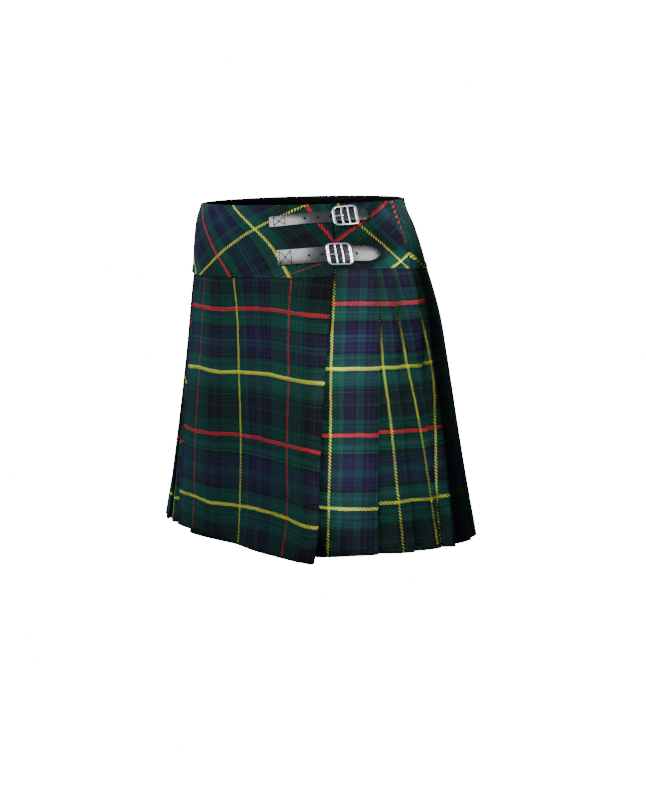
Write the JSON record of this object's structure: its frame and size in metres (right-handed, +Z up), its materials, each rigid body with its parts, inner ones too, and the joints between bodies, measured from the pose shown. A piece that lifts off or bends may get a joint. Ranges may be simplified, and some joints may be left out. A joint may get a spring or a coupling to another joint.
{
  "type": "tartan mini skirt",
  "caption": "Short wrapped and pleated skirt of dark green tartan wool, worn form, with a bias-cut hip yoke, a plain front apron and two leather straps with chrome buckles.",
  "frame": {"origin": "middle of the waist opening, 4.5 mm below the front waist edge", "axes": "+Z up; the wearer faces -Y; +X is the wearer's left side"},
  "size_m": [0.4239, 0.3099, 0.4139],
  "materials": {
    "wool_tartan": "matt twill-woven wool, dark green and navy tartan with thin red and yellow lines",
    "black_lining": "plain black lining cloth",
    "black_strap_leather": "smooth black leather with a pale sheen",
    "polished_chrome": "bright polished chrome"
  },
  "bodies": {
    "root": {"apron": "wool_tartan", "under_apron": "wool_tartan", "pleats_left": "wool_tartan", "pleats_back_left": "wool_tartan", "pleats_back_right": "wool_tartan", "pleats_right": "wool_tartan", "yoke_front": "wool_tartan", "yoke_under": "wool_tartan", "yoke_back": "wool_tartan", "yoke_lining": "black_lining", "strap_upper": "black_strap_leather", "strap_lower": "black_strap_leather", "buckle_tab_upper": "black_strap_leather", "buckle_tab_lower": "black_strap_leather", "buckle_upper": "polished_chrome", "buckle_lower": "polished_chrome", "prong_upper": "polished_chrome", "prong_lower": "polished_chrome"}
  },
  "joints": []
}
